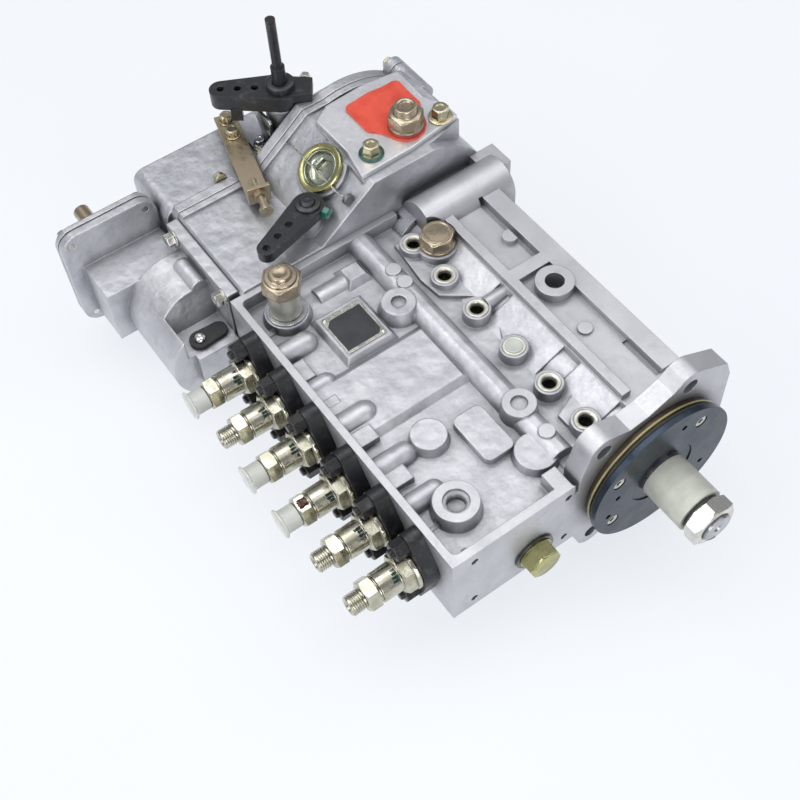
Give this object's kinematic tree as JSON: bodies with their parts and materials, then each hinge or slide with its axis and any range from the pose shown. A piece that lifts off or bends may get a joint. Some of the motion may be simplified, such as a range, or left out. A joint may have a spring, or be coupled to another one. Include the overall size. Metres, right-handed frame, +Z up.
{
  "type": "high pressure fuel pump",
  "caption": "Inline fuel injection pump with flange mounting, cam driven plungers, delivery valves, governor and boost compensator.",
  "frame": {"origin": "where the camshaft axis meets the front face of the drive flange", "axes": "+X along the camshaft out of the drive end, +Y from the delivery valves towards the base cover, +Z up from the side that the pump lies on"},
  "size_m": [0.4675, 0.29, 0.202],
  "materials": {
    "casting": "cast, satin",
    "lid": "machined, satin",
    "black_coat": "satin",
    "steel": "ground",
    "zinc": "yellow zinc",
    "cover_blue": "oiled",
    "rubber": "matt",
    "clear_plastic": "milky",
    "red_plastic": "smooth",
    "gasket": "matt",
    "plate": "matt",
    "lead": "dull"
  },
  "bodies": {
    "casing": {"pump_housing": "casting", "base_cover": "casting", "casing_screws": "zinc", "barrel_flanges": "black_coat", "plunger_barrels": "steel", "delivery_valves": "steel", "valve_holders": "zinc", "flange_nuts": "black_coat", "transport_caps": "clear_plastic", "plunger_springs": "steel", "screw_plugs": "zinc", "bearing_cups": "steel", "pump_seals": "rubber", "bearing_cover": "cover_blue", "cover_screws": "zinc", "port_rings": "zinc", "fuel_union": "zinc", "nameplate": "plate", "governor_housing": "casting", "governor_gasket": "gasket", "governor_cover": "casting", "governor_lid": "lid", "filler_plug": "zinc", "filler_tag": "red_plastic", "sight_plug": "zinc", "seal_wire": "lead", "stop_bracket": "zinc", "compensator_housing": "casting", "compensator_cover": "casting", "compensator_screws": "zinc", "boost_stub": "zinc", "oval_cap": "black_coat", "boost_diaphragm": "rubber", "fulcrum_pin": "steel"},
    "camshaft": {"camshaft": "steel", "bearing_cones": "steel", "shaft_sleeve": "clear_plastic", "shaft_nut": "zinc", "weight_carrier": "steel"},
    "tappet_1": {"tappet_1": "steel"},
    "tappet_2": {"tappet_2": "steel"},
    "tappet_3": {"tappet_3": "steel"},
    "tappet_4": {"tappet_4": "steel"},
    "tappet_5": {"tappet_5": "steel"},
    "tappet_6": {"tappet_6": "steel"},
    "rack": {"control_rack": "steel"},
    "sleeve_1": {"control_sleeve_1": "steel"},
    "sleeve_2": {"control_sleeve_2": "steel"},
    "sleeve_3": {"control_sleeve_3": "steel"},
    "sleeve_4": {"control_sleeve_4": "steel"},
    "sleeve_5": {"control_sleeve_5": "steel"},
    "sleeve_6": {"control_sleeve_6": "steel"},
    "flyweight_1": {"flyweight_1": "steel"},
    "flyweight_2": {"flyweight_2": "steel"},
    "bolt": {"sliding_bolt": "steel"},
    "fulcrum": {"fulcrum_lever": "steel"},
    "throttle": {"throttle_lever": "black_coat", "throttle_shaft": "steel"},
    "stop": {"stop_lever": "black_coat", "stop_shaft": "black_coat"}
  },
  "joints": [
    {"name": "camshaft_spin", "type": "hinge", "parent": "casing", "child": "camshaft", "pos_m": [0, 0, 0], "axis": [1, 0, 0], "continuous": true},
    {"name": "rack_slide", "type": "slide", "parent": "casing", "child": "rack", "axis": [1, 0, 0], "range_m": [-0.01, 0.01]},
    {"name": "sleeve_1_turn", "type": "hinge", "parent": "casing", "child": "sleeve_1", "pos_m": [-0.0289, -0.09, 0], "axis": [0, 1, 0], "range_deg": [-34, 34]},
    {"name": "sleeve_2_turn", "type": "hinge", "parent": "casing", "child": "sleeve_2", "pos_m": [-0.0639, -0.09, 0], "axis": [0, 1, 0], "range_deg": [-34, 34]},
    {"name": "sleeve_3_turn", "type": "hinge", "parent": "casing", "child": "sleeve_3", "pos_m": [-0.0989, -0.09, 0], "axis": [0, 1, 0], "range_deg": [-34, 34]},
    {"name": "sleeve_4_turn", "type": "hinge", "parent": "casing", "child": "sleeve_4", "pos_m": [-0.1374, -0.09, 0], "axis": [0, 1, 0], "range_deg": [-34, 34]},
    {"name": "sleeve_5_turn", "type": "hinge", "parent": "casing", "child": "sleeve_5", "pos_m": [-0.1724, -0.09, 0], "axis": [0, 1, 0], "range_deg": [-34, 34]},
    {"name": "sleeve_6_turn", "type": "hinge", "parent": "casing", "child": "sleeve_6", "pos_m": [-0.2074, -0.09, 0], "axis": [0, 1, 0], "range_deg": [-34, 34]},
    {"name": "tappet_1_lift", "type": "slide", "parent": "casing", "child": "tappet_1", "axis": [0, 1, 0], "range_m": [0, 0.005]},
    {"name": "tappet_2_lift", "type": "slide", "parent": "casing", "child": "tappet_2", "axis": [0, 1, 0], "range_m": [0, 0.0088]},
    {"name": "tappet_3_lift", "type": "slide", "parent": "casing", "child": "tappet_3", "axis": [0, 1, 0], "range_m": [0, 0.005]},
    {"name": "tappet_4_lift", "type": "slide", "parent": "casing", "child": "tappet_4", "axis": [0, 1, 0], "range_m": [0, 0.005]},
    {"name": "tappet_5_lift", "type": "slide", "parent": "casing", "child": "tappet_5", "axis": [0, 1, 0], "range_m": [0, 0.0088]},
    {"name": "tappet_6_lift", "type": "slide", "parent": "casing", "child": "tappet_6", "axis": [0, 1, 0], "range_m": [0, 0.005]},
    {"name": "flyweight_1_slide", "type": "slide", "parent": "camshaft", "child": "flyweight_1", "axis": [0, 0, 1], "range_m": [-0.003, 0.008]},
    {"name": "flyweight_2_slide", "type": "slide", "parent": "camshaft", "child": "flyweight_2", "axis": [0, 0, -1], "range_m": [-0.003, 0.008]},
    {"name": "bolt_slide", "type": "slide", "parent": "casing", "child": "bolt", "axis": [1, 0, 0], "range_m": [-0.008, 0.008]},
    {"name": "fulcrum_swing", "type": "hinge", "parent": "casing", "child": "fulcrum", "pos_m": [-0.31, -0.04, 0], "axis": [0, 0, 1], "range_deg": [-12, 12]},
    {"name": "throttle_swing", "type": "hinge", "parent": "casing", "child": "throttle", "pos_m": [-0.2633, -0.0737, 0.046], "axis": [0, 0, 1], "range_deg": [-30, 30]},
    {"name": "stop_swing", "type": "hinge", "parent": "casing", "child": "stop", "pos_m": [-0.35, -0.037, 0.062], "axis": [0, 0, 1], "range_deg": [-20, 30]}
  ],
  "couplings": [
    {"joint": "sleeve_1_turn", "follows": "rack_slide", "rad_per_m": -57.143},
    {"joint": "sleeve_2_turn", "follows": "rack_slide", "rad_per_m": -57.143},
    {"joint": "sleeve_3_turn", "follows": "rack_slide", "rad_per_m": -57.143},
    {"joint": "sleeve_4_turn", "follows": "rack_slide", "rad_per_m": -57.143},
    {"joint": "sleeve_5_turn", "follows": "rack_slide", "rad_per_m": -57.143},
    {"joint": "sleeve_6_turn", "follows": "rack_slide", "rad_per_m": -57.143},
    {"joint": "fulcrum_swing", "follows": "rack_slide", "rad_per_m": 20},
    {"joint": "bolt_slide", "follows": "rack_slide", "ratio": -0.8}
  ]
}
